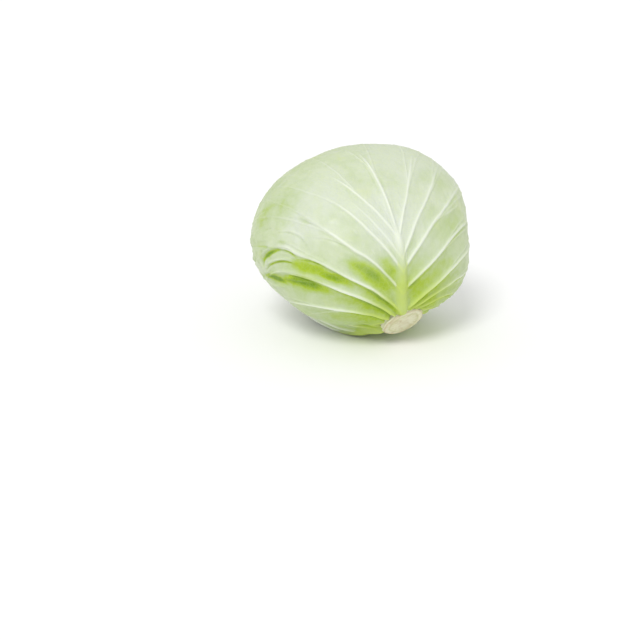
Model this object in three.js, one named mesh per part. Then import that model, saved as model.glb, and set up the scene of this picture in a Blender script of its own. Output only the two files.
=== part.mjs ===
// A head of green cabbage, trimmed for sale and lying on its side.
//
// The head is a slightly flattened ball. Its cut stem faces the front right and downwards, and its
// crown faces the back left and upwards. Seven wrapper leaves grow from the stem in a spiral, each
// 137.5 degrees on from the last, and hug the ball: leaf_1 is the outermost, and every later leaf
// lies under the ones before it. Each leaf is a thin bowl with a thick midrib and a fan of raised
// veins. Inside them are the packed inner leaves (heart) and the tapering core of the stem.
//
// Frame: millimetres, +Z up, -Y to the front, +X to the right. The origin is the middle of the
// small flat spot that the head rests on.
//
// A point of the head is a direction from the head's centre and a radius. Each leaf also has a
// plane of its own, the leaf pressed flat: x across it and y along its midrib towards the crown,
// in millimetres on the ball, measured from the point where the leaf's middle touches the ball.

import * as THREE from "three";
import { mergeVertices } from "three/addons/utils/BufferGeometryUtils.js";

// ---- The head's shape ----

const HALF_WIDTH = 81.5; // along X
const HALF_DEPTH = 76; // along Y
const HALF_HEIGHT = 70.5; // along Z
const PLANE_RADIUS = 77; // turns angles on the ball into millimetres on a leaf's plane
const PRESSED_FLAT = 3; // how far the underside is flattened by the head's weight
const FLAT_BLEND = 1.2; // rounding at the rim of the flat spot
const FLAT_SNAP = 0.05; // heights below this are the flat spot itself

// Where the head bulges (height above 0) or is pressed in (below 0). turn is degrees from the
// front towards the right, rise is degrees above level, spread is the bump's size in degrees.
const BUMPS = [
  { turn: 75, rise: -24, height: 4.5, spread: 19 },
  { turn: 92, rise: 4, height: -4, spread: 11 },
  { turn: 93, rise: 30, height: 4.5, spread: 17 },
  { turn: 118, rise: 55, height: 3.5, spread: 15 },
  { turn: -114, rise: 52, height: -2, spread: 17 },
  { turn: -88, rise: -6, height: 2, spread: 17 },
  { turn: -73, rise: -42, height: -3.5, spread: 15 },
  { turn: 170, rise: 10, height: 3, spread: 20 },
  { turn: -150, rise: -15, height: -2.5, spread: 18 },
];

// ---- The stem ----

const STEM_TURN = 33; // degrees from the front towards the right
const STEM_DROP = 39.3; // degrees below level
const STUMP_RADIUS = 16;
const STUMP_BEVEL = 1;
const STUMP_OUT = 7; // how far the cut face stands out of the basin
const CORE_TIP_RADIUS = 5;
const CORE_LENGTH = 78; // from the cut face to the core's tip
const CORE_SIDES = 24;
const BASIN_DEPTH = 5; // the leaf bases dip in round the stem
const BASIN_SPREAD = 15; // degrees
const HEART_GAP = 0.7; // between the innermost leaf and the heart, on top of a layer's own gap
const CORE_GAP = 0.4; // between the core and the heart

// ---- The leaves ----

const SPIRAL = 137.5; // degrees from one leaf to the next
const FIRST_AZIMUTH = 13; // leaf_1's midrib, in degrees round the stem from straight up
const LEAF_MIDDLE = 80; // degrees from the stem to a leaf's middle
const BASE_RADIUS = 15.5; // degrees from the stem's axis to a leaf's base edge
const BLADE = 0.9; // blade thickness
const LAYER = 2.2; // from one leaf's outer face to the next one's
const COVER_RAMP = { start: 6, end: 44 }; // past an outer leaf's edge, the leaf below comes up here
const EDGE_LIFT = 1.2; // a free edge stands off the leaf below by about this much
const EDGE_LIFT_WIDTH = 14;
const EDGE_RIPPLE = { height: 0.7, count: 11 }; // added to the lift
const EDGE_WAVES = [
  { height: 1.6, count: 5 },
  { height: 1.1, count: 9 },
];

const MIDRIB_TOP = -24; // y where the midrib has become one vein among the others
const MIDRIB_WIDTH = { top: 3, base: 7 }; // half widths
const MIDRIB_HEIGHT = { top: 1.5, base: 4.5 };
const VEIN_WIDTH = { start: 2.6, end: 1.4 }; // half widths, at the midrib and at the leaf's edge
const VEIN_HEIGHT = { start: 1.7, end: 0.5 };
const COLUMN_SPREAD = 14; // degrees of the leaf's edge to one column of blade
const VEIN_BARE = { start: 3, end: 12 }; // how far out from a leaf above it a vein comes up

// Where the veins leave the midrib: millimetres down it from MIDRIB_TOP. The first is the midrib's
// own end. The last four start at its base and at even steps on round the leaf's base edge.
const STARTS_ON_MIDRIB = [0, 7, 21, 30, 46];
const STARTS_ON_BASE = 4;
const BASE_STEP = 7;

// Where they end, in degrees round the leaf's edge from its tip, on each side.
const FAN_RIGHT = [5, 48, 63, 78, 95, 110, 127, 144, 160];
const FAN_LEFT = [-5, 29, 34, 40, 55, 71, 82, 106, 160];
const EVEN_FAN = [0, 24, 44, 63, 82, 101, 120, 140, 160];

// How high each vein stands, as a multiple of VEIN_HEIGHT.
const BOLD_LEFT = [1, 1, 0.4, 1, 1.1, 2, 2, 1.6, 1];
const PLAIN = [1, 1, 1, 1, 1, 1, 1, 1, 1];

// tip, right, left and base are a leaf's reach from its middle. lean is how far the foot of its
// midrib is turned round the stem, in degrees to the left. bow is how far its veins bow towards the
// tip, as a share of their length. rows counts the mesh's steps from the midrib to the edge, and
// ridges says whether the veins have feet or are simple creases.
const ORDINARY = {
  base: 102, lean: 0, rows: 10, ridges: false, bow: { right: 0.08, left: 0.08 },
  fan: { right: EVEN_FAN, left: EVEN_FAN }, raised: { right: PLAIN, left: PLAIN },
};
const LEAVES = [
  {
    tip: 116, right: 112, left: 142, base: 104, lean: 14, rows: 13, ridges: true,
    bow: { right: 0.06, left: 0.03 },
    fan: { right: FAN_RIGHT, left: FAN_LEFT }, raised: { right: PLAIN, left: BOLD_LEFT },
  },
  { ...ORDINARY, tip: 140, right: 104, left: 100, lean: -8, ridges: true },
  { ...ORDINARY, tip: 134, right: 98, left: 104, lean: 6, ridges: true },
  { ...ORDINARY, tip: 138, right: 100, left: 98 },
  { ...ORDINARY, tip: 140, right: 98, left: 98 },
  { ...ORDINARY, tip: 140, right: 96, left: 96 },
  { ...ORDINARY, tip: 140, right: 96, left: 96 },
];

// ---- The heart ----

const HEART_RIM = 17; // degrees from the stem's axis to the edge of the hole for the core
const HEART_ROWS = 26;
const HEART_COLUMNS = 40;
const HOLE_ROWS = 3;

// ---- Colours ----

const LEAF_COLOUR = { color: 0xc3d99c, roughness: 0.45, metalness: 0 };
const HEART_COLOUR = { color: 0xe2e8c4, roughness: 0.5, metalness: 0 };
const STEM_COLOUR = { color: 0xe9e3c3, roughness: 0.7, metalness: 0 };

const DEG = Math.PI / 180;
const clamp = (x, low = 0, high = 1) => Math.min(high, Math.max(low, x));
const mix = (a, b, t) => a + (b - a) * t;
const smooth = (t) => t * t * (3 - 2 * t);
const ramp = (low, high, x) => smooth(clamp((x - low) / (high - low)));

// ---- Directions on the head ----

function aim(turn, rise) {
  const level = Math.cos(rise * DEG);
  const x = Math.sin(turn * DEG) * level;
  const y = -Math.cos(turn * DEG) * level;
  return new THREE.Vector3(x, y, Math.sin(rise * DEG));
}

const STEM = aim(STEM_TURN, -STEM_DROP);
const UP_ROUND_STEM = new THREE.Vector3(0, 0, 1).addScaledVector(STEM, -STEM.z).normalize();
const SIDE_ROUND_STEM = new THREE.Vector3().crossVectors(STEM, UP_ROUND_STEM);

// The direction at an angle from the stem's axis and an azimuth round it, both in radians.
function roundStem(angle, azimuth) {
  return STEM.clone()
    .multiplyScalar(Math.cos(angle))
    .addScaledVector(UP_ROUND_STEM, Math.sin(angle) * Math.cos(azimuth))
    .addScaledVector(SIDE_ROUND_STEM, Math.sin(angle) * Math.sin(azimuth));
}

const bumps = BUMPS.map(({ turn, rise, height, spread }) => {
  return { direction: aim(turn, rise), height, sharpness: 1 / (spread * DEG) ** 2 };
});

function roundRadius(dir) {
  let radius = 1 / Math.hypot(dir.x / HALF_WIDTH, dir.y / HALF_DEPTH, dir.z / HALF_HEIGHT);
  for (const bump of bumps) {
    radius += bump.height * Math.exp(bump.sharpness * (dir.dot(bump.direction) - 1));
  }
  const fromStem = Math.acos(clamp(dir.dot(STEM), -1, 1));
  return radius - BASIN_DEPTH * Math.exp(-((fromStem / (BASIN_SPREAD * DEG)) ** 2));
}

const CENTRE_HEIGHT = roundRadius(new THREE.Vector3(0, 0, -1)) - PRESSED_FLAT;

// The head's outer radius in a direction, flat spot included.
function headRadius(dir) {
  const radius = roundRadius(dir);
  if (dir.z > -0.1) return radius;
  const floor = CENTRE_HEIGHT / -dir.z;
  const share = clamp(0.5 + (radius - floor) / (2 * FLAT_BLEND));
  return mix(radius, floor, share) - FLAT_BLEND * share * (1 - share);
}

// The point at a radius in a direction, with its height above the floor.
function place(dir, radius) {
  const point = dir.clone().multiplyScalar(radius);
  point.z += CENTRE_HEIGHT;
  if (point.z < FLAT_SNAP) point.z = 0;
  return point.toArray();
}

// ---- A leaf's plane ----

function toDirection(leaf, [x, y]) {
  const reach = Math.hypot(x, y);
  const angle = reach / PLANE_RADIUS;
  const scale = reach > 0 ? Math.sin(angle) / reach : 0;
  return leaf.middle
    .clone()
    .multiplyScalar(Math.cos(angle))
    .addScaledVector(leaf.across, x * scale)
    .addScaledVector(leaf.along, y * scale);
}

function toPlane(leaf, dir) {
  const x = dir.dot(leaf.across);
  const y = dir.dot(leaf.along);
  const reach = PLANE_RADIUS * Math.acos(clamp(dir.dot(leaf.middle), -1, 1));
  const scale = reach / Math.max(Math.hypot(x, y), 1e-9);
  return [x * scale, y * scale];
}

// The leaf's edge: its distance from the middle, at an angle from the tip that is positive to the
// right.
function edgeReach(leaf, angle) {
  const sideways = Math.sin(angle) ** 2;
  const side = angle > 0 ? leaf.right : leaf.left;
  const end = Math.abs(angle) < Math.PI / 2 ? leaf.tip : leaf.base;
  let reach = mix(end, side, sideways);
  for (const { height, count } of EDGE_WAVES) {
    reach += height * Math.sin(count * (angle + leaf.azimuth)) * Math.cos(angle / 2) ** 2;
  }
  return reach;
}

// How far a direction lies past the leaf's edge, below 0 inside the leaf.
function pastEdge(leaf, dir) {
  const [x, y] = toPlane(leaf, dir);
  return Math.hypot(x, y) - edgeReach(leaf, Math.atan2(x, y));
}

// ---- How the leaves stack ----

// How deep the layer under these outer leaves lies in a direction.
function depthUnder(outerLeaves, dir) {
  let depth = 0;
  for (const outer of outerLeaves) {
    depth += LAYER * (1 - ramp(COVER_RAMP.start, COVER_RAMP.end, pastEdge(outer, dir)));
  }
  return depth;
}

// 1 where none of these outer leaves covers a direction and 0 under one of them.
function bareness(outerLeaves, dir) {
  let bare = 1;
  for (const outer of outerLeaves) bare *= ramp(VEIN_BARE.start, VEIN_BARE.end, pastEdge(outer, dir));
  return bare;
}

// ---- A leaf's fan of veins ----

const MIDRIB_LENGTH = PLANE_RADIUS * (LEAF_MIDDLE - BASE_RADIUS) * DEG + MIDRIB_TOP;
const VEIN_STARTS = [...STARTS_ON_MIDRIB];
for (let i = 0; i < STARTS_ON_BASE; i++) VEIN_STARTS.push(MIDRIB_LENGTH + i * BASE_STEP);
const LAST_VEIN = VEIN_STARTS.length - 1;

// The value between a list's entries at a place that counts veins out from the midrib.
function between(list, vein) {
  const low = Math.min(Math.floor(vein), LAST_VEIN - 1);
  return mix(list[low], list[low + 1], vein - low);
}

// The point down the midrib, or round the base edge, where this part of the fan starts.
function fanStart(leaf, vein, side) {
  const travelled = between(VEIN_STARTS, vein);
  const down = Math.min(travelled, MIDRIB_LENGTH);
  const angle = LEAF_MIDDLE * DEG - (down - MIDRIB_TOP) / PLANE_RADIUS;
  const turn = (travelled - down) / (PLANE_RADIUS * Math.sin(BASE_RADIUS * DEG));
  const lean = leaf.lean * DEG * (down / MIDRIB_LENGTH) ** 2;
  return toPlane(leaf, roundStem(angle, leaf.azimuth + lean - side * turn));
}

// The point where it ends, on the leaf's edge.
function fanEnd(leaf, vein, side) {
  const angle = between(side > 0 ? leaf.fan.right : leaf.fan.left, vein) * DEG * side;
  const reach = edgeReach(leaf, angle);
  return [reach * Math.sin(angle), reach * Math.cos(angle)];
}

// A point on the way between the two, at a share from 0 to 1.
function fanPoint(leaf, vein, share, side) {
  const [x0, y0] = fanStart(leaf, vein, side);
  const [x1, y1] = fanEnd(leaf, vein, side);
  const bow = (side > 0 ? leaf.bow.right : -leaf.bow.left) * smooth(clamp(vein));
  const xBow = mix(x0, x1, 0.35) - bow * (y1 - y0);
  const yBow = mix(y0, y1, 0.35) + bow * (x1 - x0);
  const x = mix(mix(x0, xBow, share), mix(xBow, x1, share), share);
  const y = mix(mix(y0, yBow, share), mix(yBow, y1, share), share);
  return [x, y];
}

const apart = ([ax, ay], [bx, by]) => Math.hypot(ax - bx, ay - by);

// The columns of one half of a leaf's mesh: every vein's crest, the feet of its ridge, and the
// blade between veins.
function columnsOf(leaf) {
  const columns = [];
  const { right, left } = leaf.fan;
  for (let vein = 0; vein < LAST_VEIN; vein++) {
    columns.push({ vein, crest: true });
    if (leaf.ridges) columns.push({ vein, foot: 1 });
    const spread = Math.max(right[vein + 1] - right[vein], left[vein + 1] - left[vein]);
    const blades = clamp(Math.round(spread / COLUMN_SPREAD), 1, 3);
    for (let k = 0; k < blades; k++) columns.push({ vein: vein + mix(0.17, 0.83, (k + 0.5) / blades) });
    if (leaf.ridges && vein + 1 < LAST_VEIN) columns.push({ vein: vein + 1, foot: -1 });
  }
  columns.push({ vein: LAST_VEIN });
  return columns;
}

// Where a column runs at a share of the way out, counted in veins.
function columnVein(leaf, column, share, side) {
  if (!column.foot) return column.vein;
  const crest = fanPoint(leaf, column.vein, share, side);
  const next = fanPoint(leaf, column.vein + column.foot, share, side);
  const width = mix(VEIN_WIDTH.start, VEIN_WIDTH.end, share) / apart(crest, next);
  return column.vein + column.foot * clamp(width, 0.06, 0.25);
}

const downMidrib = (y) => clamp((MIDRIB_TOP - y) / MIDRIB_LENGTH);

// The share of the way out at a row of the mesh. Row 0 is the midrib's crest and row 1 its foot.
function rowShare(leaf, row, vein, side) {
  if (row === 0) return 0;
  const start = fanStart(leaf, vein, side);
  const halfWidth = mix(MIDRIB_WIDTH.top, MIDRIB_WIDTH.base, downMidrib(start[1]));
  const foot = clamp(halfWidth / apart(start, fanEnd(leaf, vein, side)), 0.02, 0.25);
  return mix(foot, 1, (row - 1) / (leaf.rows - 1));
}

// How far the leaf's outer face stands above its blade.
function relief(leaf, column, row, share, y, side) {
  const raised = side > 0 ? leaf.raised.right : leaf.raised.left;
  const vein = column.crest ? mix(VEIN_HEIGHT.start, VEIN_HEIGHT.end, share) * raised[column.vein] : 0;
  if (row > 0) return vein;
  return Math.max(vein, mix(MIDRIB_HEIGHT.top, MIDRIB_HEIGHT.base, downMidrib(y)));
}

// How far the blade stands off the leaf below, towards its free edge.
function edgeLift(leaf, dir, [x, y]) {
  const angle = Math.atan2(x, y);
  const fromBase = ramp(-0.9, -0.5, Math.cos(angle));
  const ripple = EDGE_RIPPLE.height * Math.sin(EDGE_RIPPLE.count * angle);
  return (EDGE_LIFT + ripple) * fromBase * ramp(-EDGE_LIFT_WIDTH, 0, pastEdge(leaf, dir));
}

// ---- A leaf as a closed solid ----

// The outer and inner points of one half of a leaf, column by column.
function leafGrid(leaf, outerLeaves, columns, side) {
  const outer = [];
  const inner = [];
  for (const column of columns) {
    const outerColumn = [];
    const innerColumn = [];
    for (let row = 0; row <= leaf.rows; row++) {
      const vein = columnVein(leaf, column, row / leaf.rows, side);
      const share = rowShare(leaf, row, vein, side);
      const point = fanPoint(leaf, vein, share, side);
      const dir = toDirection(leaf, point);
      const bare = bareness(outerLeaves, dir);
      const blade = headRadius(dir) - depthUnder(outerLeaves, dir) + bare * edgeLift(leaf, dir, point);
      outerColumn.push(place(dir, blade + bare * relief(leaf, column, row, share, point[1], side)));
      innerColumn.push(place(dir, blade - BLADE));
    }
    outer.push(outerColumn);
    inner.push(innerColumn);
  }
  return { outer, inner };
}

function leafGeometry(leaf, outerLeaves) {
  const positions = [];
  const columns = columnsOf(leaf);
  const firstOnBase = columns.findIndex(({ vein, crest }) => crest && vein === STARTS_ON_MIDRIB.length);
  for (const side of [1, -1]) {
    const { outer, inner } = leafGrid(leaf, outerLeaves, columns, side);
    const quad = (a, b, c, d) => {
      const [second, fourth] = side > 0 ? [d, b] : [b, d];
      positions.push(...a, ...second, ...c, ...a, ...c, ...fourth);
    };
    const last = outer.length - 1;
    const edge = leaf.rows;
    for (let i = 0; i < last; i++) {
      for (let j = 0; j < edge; j++) {
        quad(outer[i][j], outer[i][j + 1], outer[i + 1][j + 1], outer[i + 1][j]);
        quad(inner[i][j], inner[i + 1][j], inner[i + 1][j + 1], inner[i][j + 1]);
      }
      quad(outer[i][edge], inner[i][edge], inner[i + 1][edge], outer[i + 1][edge]);
      if (i >= firstOnBase) {
        quad(outer[i][0], outer[i + 1][0], inner[i + 1][0], inner[i][0]);
      }
    }
    for (let j = 0; j < edge; j++) {
      quad(outer[last][j], outer[last][j + 1], inner[last][j + 1], inner[last][j]);
    }
  }
  return solid(positions);
}

function solid(positions) {
  const geometry = new THREE.BufferGeometry();
  geometry.setAttribute("position", new THREE.Float32BufferAttribute(positions, 3));
  return mergeVertices(geometry, 1e-3);
}

// ---- The stem and the heart ----

const CUT_DISTANCE = headRadius(STEM) + STUMP_OUT;
const TIP_DISTANCE = CUT_DISTANCE - CORE_LENGTH;
const NECK_DISTANCE = CUT_DISTANCE - STUMP_OUT;

// The core's radius at a distance along the stem's axis from the head's centre.
function coreRadius(distance) {
  const share = clamp((distance - TIP_DISTANCE) / (NECK_DISTANCE - TIP_DISTANCE));
  return mix(CORE_TIP_RADIUS, STUMP_RADIUS, share);
}

// A lathe profile runs from the core's tip to the middle of the cut face.
function stemGeometry() {
  const profile = [
    new THREE.Vector2(0, TIP_DISTANCE),
    new THREE.Vector2(CORE_TIP_RADIUS, TIP_DISTANCE),
    new THREE.Vector2(STUMP_RADIUS, NECK_DISTANCE),
    new THREE.Vector2(STUMP_RADIUS, CUT_DISTANCE - STUMP_BEVEL),
    new THREE.Vector2(STUMP_RADIUS - STUMP_BEVEL, CUT_DISTANCE),
    new THREE.Vector2(0, CUT_DISTANCE),
  ];
  return new THREE.LatheGeometry(profile, CORE_SIDES);
}

// A point beside the stem's axis.
function besideAxis(distance, radius, azimuth) {
  const angle = Math.atan2(radius, distance);
  return place(roundStem(angle, azimuth), Math.hypot(radius, distance));
}

const heartRadius = (dir) => headRadius(dir) - depthUnder(LEAVES, dir) - HEART_GAP;

// One line of points from the crown, over the heart's outside, into the hole and to its bottom.
function heartColumn(azimuth) {
  const column = [];
  for (let row = 0; row <= HEART_ROWS; row++) {
    const dir = roundStem(mix(180, HEART_RIM, row / HEART_ROWS) * DEG, azimuth);
    column.push(place(dir, heartRadius(dir)));
  }
  const rim = roundStem(HEART_RIM * DEG, azimuth);
  const mouth = heartRadius(rim) * rim.dot(STEM);
  const bottom = TIP_DISTANCE - CORE_GAP;
  for (let row = 0; row <= HOLE_ROWS; row++) {
    const distance = mix(mouth, bottom, row / HOLE_ROWS);
    column.push(besideAxis(distance, coreRadius(distance) + CORE_GAP, azimuth));
  }
  column.push(besideAxis(bottom, 0, azimuth));
  return column;
}

function heartGeometry() {
  const columns = [];
  for (let i = 0; i < HEART_COLUMNS; i++) columns.push(heartColumn((2 * Math.PI * i) / HEART_COLUMNS));
  const positions = [];
  const last = columns[0].length - 1;
  for (let i = 0; i < HEART_COLUMNS; i++) {
    const left = columns[i];
    const right = columns[(i + 1) % HEART_COLUMNS];
    for (let j = 0; j < last; j++) {
      if (j > 0) positions.push(...left[j], ...right[j], ...left[j + 1]);
      if (j < last - 1) positions.push(...right[j], ...right[j + 1], ...left[j + 1]);
    }
  }
  return solid(positions);
}

// ---- The part ----

const group = new THREE.Group();
group.name = "cabbage_head";

function addPiece(name, geometry, colour) {
  const mesh = new THREE.Mesh(geometry, new THREE.MeshStandardMaterial(colour));
  mesh.name = name;
  group.add(mesh);
  return mesh;
}

LEAVES.forEach((leaf, index) => {
  leaf.azimuth = (FIRST_AZIMUTH + SPIRAL * index) * DEG;
  leaf.middle = roundStem(LEAF_MIDDLE * DEG, leaf.azimuth);
  leaf.along = roundStem((LEAF_MIDDLE + 90) * DEG, leaf.azimuth);
  leaf.across = new THREE.Vector3().crossVectors(leaf.along, leaf.middle);
});
LEAVES.forEach((leaf, index) => {
  addPiece(`leaf_${index + 1}`, leafGeometry(leaf, LEAVES.slice(0, index)), LEAF_COLOUR);
});
addPiece("heart", heartGeometry(), HEART_COLOUR);
const stem = addPiece("stem", stemGeometry(), STEM_COLOUR);
stem.quaternion.setFromUnitVectors(new THREE.Vector3(0, 1, 0), STEM);
stem.position.z = CENTRE_HEIGHT;

export default group;
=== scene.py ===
import math

import bpy
import numpy as np
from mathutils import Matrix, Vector


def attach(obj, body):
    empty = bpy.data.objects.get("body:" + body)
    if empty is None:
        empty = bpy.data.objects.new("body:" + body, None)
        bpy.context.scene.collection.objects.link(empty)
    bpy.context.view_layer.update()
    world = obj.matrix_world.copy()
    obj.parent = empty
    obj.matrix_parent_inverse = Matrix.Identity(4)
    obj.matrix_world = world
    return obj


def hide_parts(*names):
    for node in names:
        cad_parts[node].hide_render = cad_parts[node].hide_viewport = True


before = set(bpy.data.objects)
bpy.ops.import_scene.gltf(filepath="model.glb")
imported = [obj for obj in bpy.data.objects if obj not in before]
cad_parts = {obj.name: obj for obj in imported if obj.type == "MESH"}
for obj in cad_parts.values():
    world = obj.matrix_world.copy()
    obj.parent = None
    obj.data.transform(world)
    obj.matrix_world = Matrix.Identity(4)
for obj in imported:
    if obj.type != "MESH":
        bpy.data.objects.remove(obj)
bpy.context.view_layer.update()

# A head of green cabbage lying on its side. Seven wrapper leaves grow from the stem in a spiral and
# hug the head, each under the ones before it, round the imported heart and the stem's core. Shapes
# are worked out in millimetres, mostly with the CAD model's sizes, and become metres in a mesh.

MM = 0.001
DEG = math.pi / 180
TINY = 1e-9

# ---- The head, as in the CAD model ----

HALF_SIZES = np.array([81.5, 76, 70.5])  # along X, Y and Z
PLANE_RADIUS = 77  # angles on the ball become millimetres on a leaf's plane
PRESSED_FLAT = 3
FLAT_BLEND = 1.2
FLAT_SNAP = 0.05
LOWER_SIDE = 0.1  # the flat spot is only in directions that fall by this share
# Degrees from the front to the right, degrees up, height, and spread in degrees.
BUMPS = [
    (75, -24, 4.5, 19),
    (92, 4, -4.0, 11),
    (93, 30, 4.5, 17),
    (118, 55, 3.5, 15),
    (-114, 52, -2.0, 17),
    (-88, -6, 2.0, 17),
    (-73, -42, -3.5, 15),
    (170, 10, 3.0, 20),
    (-150, -15, -2.5, 18),
]
STEM_TURN = 33
STEM_DROP = 39.3
BASIN_DEPTH = 5
BASIN_SPREAD = 15

# ---- The stem and the heart, as in the CAD model ----

STUMP_RADIUS = 16
STUMP_BEVEL = 1
STUMP_OUT = 7
CORE_TIP_RADIUS = 5
CORE_LENGTH = 78
CORE_GAP = 0.4
HEART_GAP = 0.7
HEART_RIM = 17

# ---- The leaves, as in the CAD model ----

SPIRAL = 137.5
FIRST_AZIMUTH = 13
LEAF_MIDDLE = 80
BASE_RADIUS = 15.5
BLADE = 0.9
LAYER = 2.2
COVER_RAMP = (6, 44)
EDGE_WAVES = ((1.6, 5), (1.1, 9))  # height, and waves round the leaf
EDGE_LIFT_WIDTH = 14
MIDRIB_TOP = -24
MIDRIB_WIDTH = (3, 7)
MIDRIB_HEIGHT = (1.5, 4.5)
VEIN_WIDTH = (2.6, 1.4)
VEIN_HEIGHT = (1.7, 0.5)
STARTS_ON_MIDRIB = [0, 7, 21, 30, 46]
STARTS_ON_BASE = 4
BASE_STEP = 7
FAN_LEFT = [-5, 29, 34, 40, 55, 71, 82, 106, 160]
EVEN_FAN = [0, 24, 44, 63, 82, 101, 120, 140, 160]
BOW_AT = 0.35  # the share of a vein's length where its bow is set
PLAIN = [1] * 9

# ---- The leaves, a little different from the CAD model ----

VEIN_BARE = (2, 9)  # how far out from a leaf above it a vein comes up
FAN_RIGHT = [5, 48, 64, 79, 96, 110, 127, 144, 160]
# Each vein's height as a multiple of VEIN_HEIGHT.
BOLD_LEFT = [0.7, 0.7, 0.35, 0.75, 1, 1.55, 1.6, 1.4, 1]
BOLD_RIGHT = [0.8, 0.65, 0.75, 0.85, 1.05, 1.6, 1.3, 1, 1]

# ---- What the fine meshes add ----

# The share of the way out by which each vein has sunk in.
SINKS_RIGHT = [0.72, 0.8, 0.85, 0.95, 0.9, 1, 1.1, 1.1, 1.1]
SINKS_LEFT = [0.72, 0.68, 0.5, 0.66, 0.7, 1.1, 1.1, 1.1, 1.1]
LATE = [1.1] * 9
SINK_LENGTH = 0.25
PULLED_IN = 2.7  # degrees that leaf bases reach in to the stem
PULLED_FROM = 34
BASE_FLARE = 2.8  # how far leaf bases climb the stump
FLARED = (25, 13.5)  # degrees from the stem
EDGE_NOISES = ((1.9, 24), (0.7, 6))  # heights and sizes
EDGE_NICKS = (3, 5.5)  # depth and size
NICKED = (0.5, 0.8)  # the noise's values that make nicks
EDGE_HUG = -0.6  # a free edge's lift where it lies close, and where it curls
EDGE_CURL = 2.6
CURL_SIZE = 30
CURL_WIDER = (0.6, 1.3)  # shares of the width: lying close, and curled
CURLED = (-0.05, 0.85)  # the noise's values between which it curls
CURL_RIPPLE = (0.12, 11)  # added to the noise, and how often round the leaf
EDGE_RUFFLE = (0.55, 9)
RUFFLE_WIDTH = 10
LIFT_FROM_BASE = (-0.9, -0.5)  # cosines of the angle from the tip
EDGE_THINNED = 0.5  # the share of its thickness that is left
RIM_RAMP = (-6, 0)  # where it thins, past the edge
WANDERS = ((1.2, 24), (0.4, 8))  # how far veins stray, over what distance
WANDERS_FROM = (0.03, 0.3)
WANDERS_ROOM = 6
WANDERS_FADE = 0.6  # near the midrib and the last vein, in gaps
VEIN_ROUND = 0.6  # its top's width as a share of VEIN_WIDTH
BOLD_WIDER = 0.25
LOWEST_TONE = 0.5  # how clear the colour of the lowest vein is
SUNK_HEIGHT = 0.1
SUNK_TONE = 0.08
HALO = 0.32  # how pale the blade is beside a vein
HALO_WIDTH = 4.5
FAR_TONE = 0.6  # how clear a vein's colour is past the far shares of the way out
FAR_SHARES = (0.35, 0.95)
MIDRIB_END = (12, -6)  # where the midrib fades in, above and below its top
MIDRIB_ROUND = (0.75, 2.6)  # its height's width as a share of its colour's, and how steep
MIDRIB_TONE_STEEP = 4
MIDRIB_TONE = ((0.1, 0.3, 0.6), (0.8, 0.4, 0.65))  # how clear its colour is, down its length
GROOVE_DEPTH = 0.25  # of the groove along a vein's outer side
# The groove's green is painted shade.
GROOVE_SHADE_GREEN = 0.2
GROOVE_START = (0.04, 0.12)
GROOVE_MOST = 1.3
GROOVE_AWAY = 1.15  # from the vein's middle, in widths
# The share of the way out where a fork starts, and how much of its gap it crosses, for the fork
# from a gap's first vein and the one from its second.
FORKS_LEAST = [0.28, 0.27, 0.35, 0.62]
FORKS_MOST = [0.5, 0.36, 0.6, 0.72]
FORK_BEND = 0.8
FORK_START = 0.12
FORK_ROUND = 0.45
FORK_HEIGHT = 0.6
FORK_TONE = 1.3
FORK_ROOM = (7, 15)  # forks grow where veins are this far apart
# Small veins beside the main ones.
SIDE_STEP = 9
SIDE_SLANT = 0.9
SIDE_COSINE = 0.75  # of the slant, about
SIDE_ROUND = 0.8
SIDE_CLEAR = 2.5  # they fade this close to a main vein
SIDE_REACH = (0.55, 0.28)  # and towards the middle of a gap
SIDE_FROM = (0.05, 0.2)  # shares of the way out
SIDE_SHIFT = 0.37  # from half a gap to the next, in steps
SIDE_WANDER = (2.2, 9)
SIDE_HEIGHT = 0.26
SIDE_TONE = 0.12
VALLEY_DEPTH = 0.75
VALLEYS_FROM = (0.02, 0.2)
VALLEYS_TO = (1, 0.8)
VALLEY_ROOM = (4, 12)  # the veins' distances, for none and all of the depth
VALLEY_FILLED = 0.8  # the share that goes where veins have sunk
# Greener in the valleys between veins: painted shade.
VALLEY_SHADE_GREEN = 0.06
# Greener under the bold ridges: painted shadow.
RIDGE_SHADOW_GREEN = 0.15  # under the bold ridges
UNDER_RIDGE = ((0.02, 0.14), (0.85, 0.2))  # where in a gap it starts and ends
UNDER_RIDGE_TO = (1, 0.6)
PUCKER = 0.25
PUCKER_SIZES = (7, 16)
STREAK = 0.1
STREAKS = (9, 5)  # how many cross a gap, and a vein's length
STREAKS_FROM = 0.1
DEEPEST = -1.1  # the blade dips no further, so it clears the leaf below


def mix(a, b, t):
    return a + (b - a) * t


def ramp(low, high, x):
    t = np.clip((x - low) / (high - low), 0, 1)
    return t * t * (3 - 2 * t)


def bell(distance, width):
    return np.exp(-((distance / width) ** 2))


def unit(v):
    return v / np.linalg.norm(v)


NOISE_VALUES = 4096
NOISE_PRIMES = (7919, 104729, 1299709)
NOISE_START = 1000.5  # keeps the cells' numbers above 0


class Noise:
    """Smooth random values from -1 to 1 that change over a distance."""

    def __init__(self, seed, size):
        self.size = size
        self.values = np.random.default_rng(seed).uniform(-1, 1, NOISE_VALUES)

    def __call__(self, points):
        scaled = points / self.size + NOISE_START
        cell = np.floor(scaled).astype(np.int64)
        weight = scaled - cell
        weight = weight * weight * (3 - 2 * weight)
        total = np.zeros(points.shape[:-1])
        for corner in np.ndindex(2, 2, 2):
            x, y, z = ((cell[..., k] + corner[k]) * NOISE_PRIMES[k] for k in range(3))
            share = 1.0
            for k in range(3):
                share *= weight[..., k] if corner[k] else 1 - weight[..., k]
            total += share * self.values[(x ^ y ^ z) % NOISE_VALUES]
        return total


# ---- Directions on the head ----


def aim(turn, rise):
    level = math.cos(rise * DEG)
    return np.array([math.sin(turn * DEG) * level, -math.cos(turn * DEG) * level, math.sin(rise * DEG)])


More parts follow.
